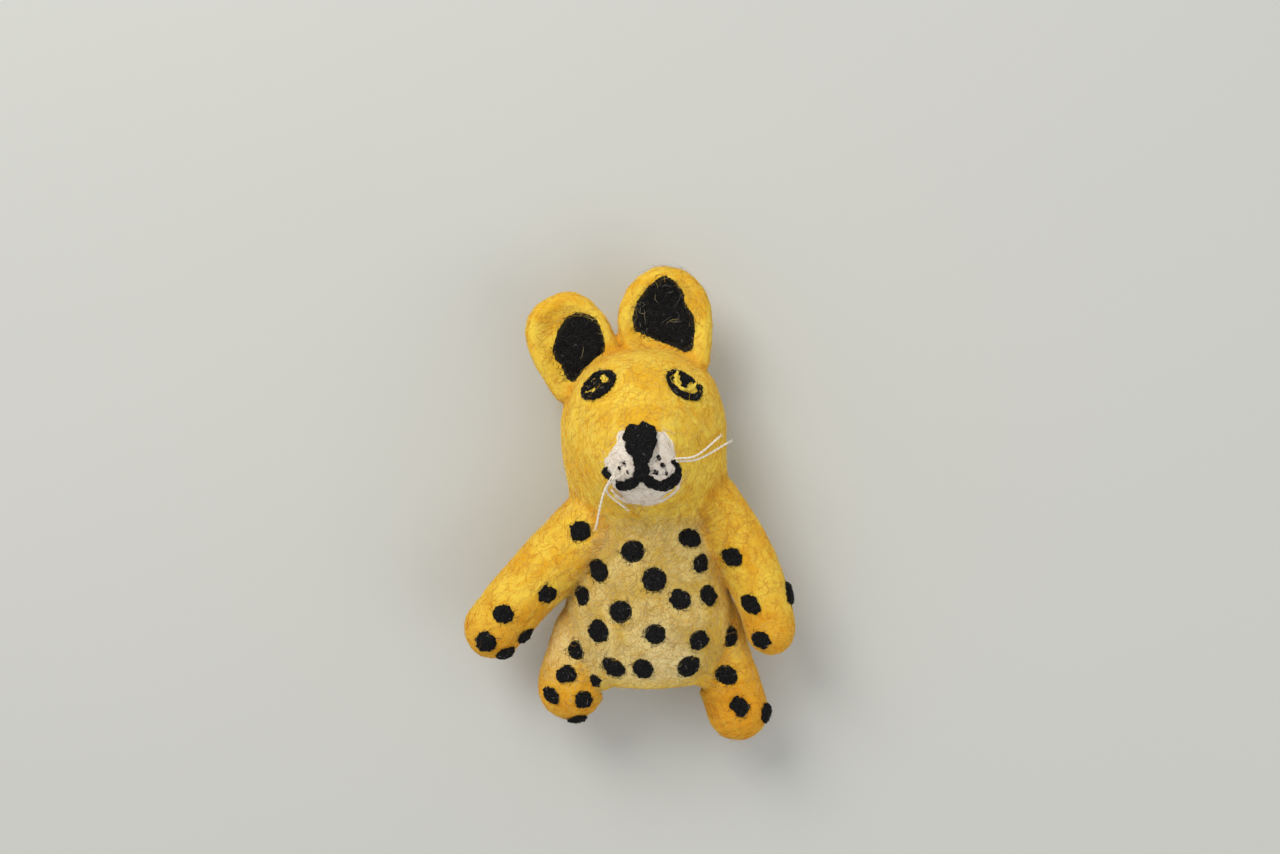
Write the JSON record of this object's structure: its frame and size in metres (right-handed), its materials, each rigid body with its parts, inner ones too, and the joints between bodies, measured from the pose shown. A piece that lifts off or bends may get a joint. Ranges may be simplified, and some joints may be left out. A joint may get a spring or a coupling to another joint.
{
  "type": "finger puppet",
  "caption": "Needle-felted finger puppet of a yellow spotted cat: hollow body sleeve for one finger, head with raised snout, two rounded ears, stub arms and legs, thread whiskers.",
  "frame": {"origin": "middle of the flat that the back is pressed to, where the puppet lies, level with the middle of its length of sleeve", "axes": "+Y from the open hem to the ears, +Z out of the belly and the face, +X to the puppet's own left; the puppet lies on its back"},
  "size_m": [0.067, 0.0969, 0.04],
  "materials": {
    "yellow_wool": "matte needle-felted wool, golden yellow, with a tan belly",
    "orange_wool": "matte needle-felted wool, orange yellow",
    "black_wool": "matte black wool, needled on",
    "white_wool": "matte off-white wool, needled on",
    "white_thread": "white sewing thread"
  },
  "bodies": {
    "root": {"arm_left": "orange_wool", "arm_left_spot_01": "black_wool", "arm_left_spot_02": "black_wool", "arm_left_spot_03": "black_wool", "arm_left_spot_04": "black_wool", "arm_right": "orange_wool", "arm_right_spot_01": "black_wool", "arm_right_spot_02": "black_wool", "arm_right_spot_03": "black_wool", "arm_right_spot_04": "black_wool", "arm_right_spot_05": "black_wool", "arm_right_spot_06": "black_wool", "body_sleeve": "yellow_wool", "body_spot_01": "black_wool", "body_spot_02": "black_wool", "body_spot_03": "black_wool", "body_spot_04": "black_wool", "body_spot_05": "black_wool", "body_spot_06": "black_wool", "body_spot_07": "black_wool", "body_spot_08": "black_wool", "body_spot_09": "black_wool", "body_spot_10": "black_wool", "body_spot_11": "black_wool", "body_spot_12": "black_wool", "body_spot_13": "black_wool", "body_spot_14": "black_wool", "body_spot_15": "black_wool", "body_spot_16": "black_wool", "ear_left": "yellow_wool", "ear_lining_left": "black_wool", "ear_lining_right": "black_wool", "ear_right": "yellow_wool", "eye_outline_left": "black_wool", "eye_outline_right": "black_wool", "leg_left": "yellow_wool", "leg_left_spot_01": "black_wool", "leg_left_spot_02": "black_wool", "leg_left_spot_03": "black_wool", "leg_left_spot_04": "black_wool", "leg_right": "yellow_wool", "leg_right_spot_01": "black_wool", "leg_right_spot_02": "black_wool", "leg_right_spot_03": "black_wool", "leg_right_spot_04": "black_wool", "leg_right_spot_05": "black_wool", "mouth_left": "black_wool", "mouth_right": "black_wool", "muzzle": "white_wool", "nose": "black_wool", "pupil_left": "black_wool", "pupil_right": "black_wool", "whisker_left_lower": "white_thread", "whisker_left_upper": "white_thread", "whisker_right_inner": "white_thread", "whisker_right_outer": "white_thread"}
  },
  "joints": []
}
